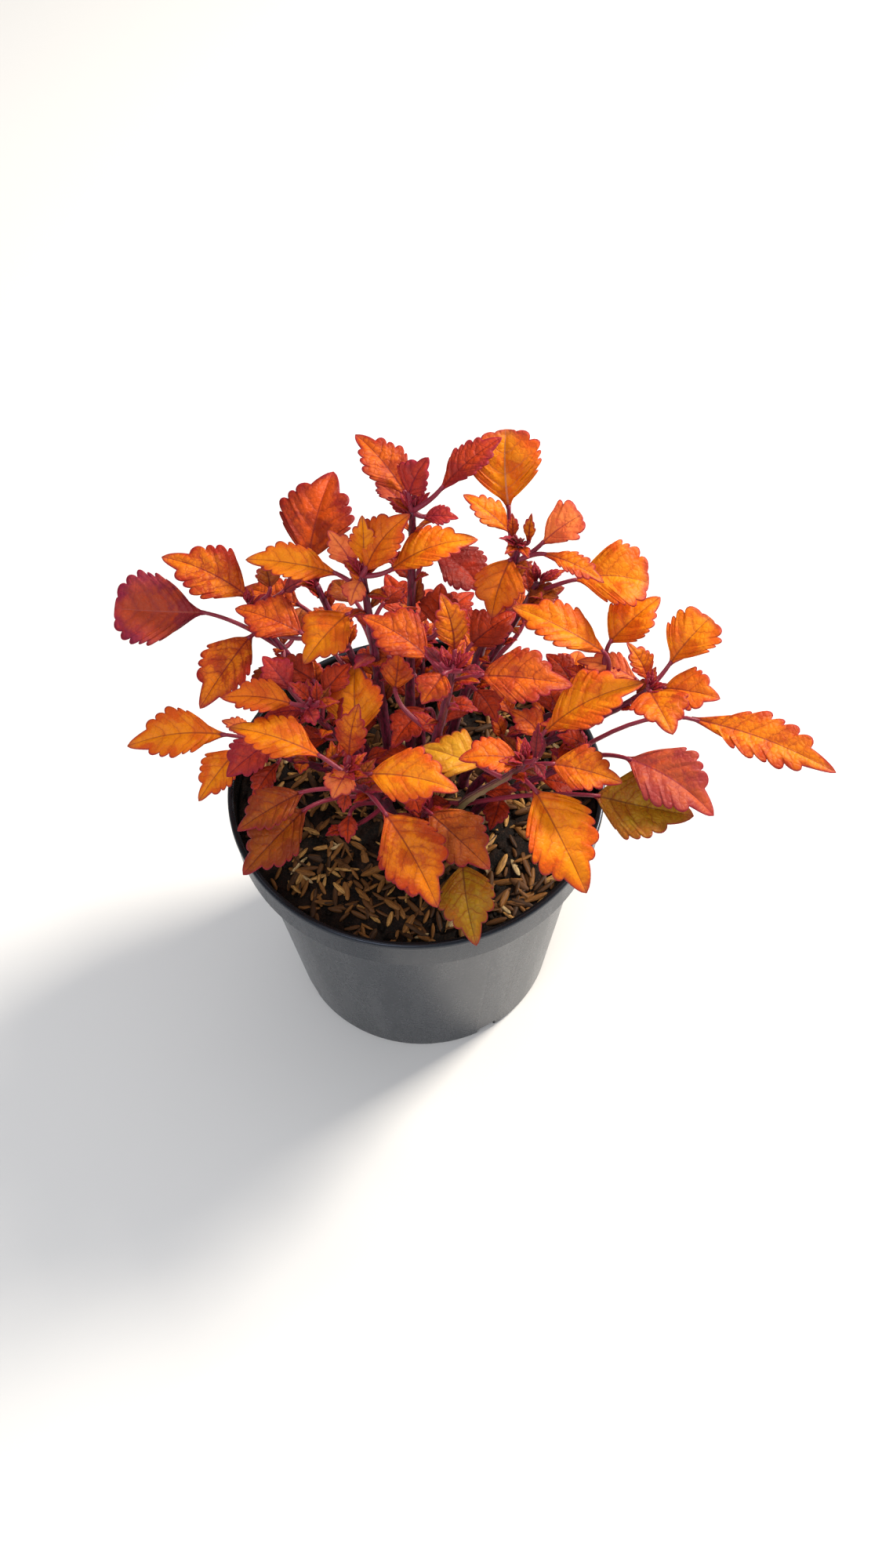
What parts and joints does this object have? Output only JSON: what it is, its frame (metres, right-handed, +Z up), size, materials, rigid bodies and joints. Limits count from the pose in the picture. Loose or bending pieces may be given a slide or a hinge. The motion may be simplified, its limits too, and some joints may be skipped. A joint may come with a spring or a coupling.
{
  "type": "potted coleus",
  "caption": "Young coleus with toothed orange and red leaves on branching purple stems, standing in potting mix in a round tapered nursery pot.",
  "frame": {"origin": "centre of the pot's underside, on the surface that it stands on", "axes": "+Z up along the pot's axis, -Y towards the side with the lowest leaves, +X to the right as seen from there"},
  "size_m": [0.2662, 0.1545, 0.2691],
  "materials": {
    "pot_plastic": "satin moulded black plastic with a dusty blue-grey sheen",
    "potting_mix": "damp dark bark and peat crumbs with straw-coloured husks",
    "foliage": "soft living leaf, orange to red with dark veins, on purple stems"
  },
  "bodies": {
    "root": {"pot": "pot_plastic", "soil": "potting_mix", "stem_back": "foliage", "stem_back_right": "foliage", "stem_mid_left": "foliage", "stem_far_left": "foliage", "stem_left": "foliage", "stem_front_left": "foliage", "stem_low_left": "foliage", "stem_low_front": "foliage", "stem_centre": "foliage", "stem_front_right": "foliage", "stem_far_right": "foliage", "stem_right": "foliage", "stem_low_right": "foliage", "stem_rear_right": "foliage", "stem_rear_left": "foliage", "stem_rear": "foliage"}
  },
  "joints": []
}
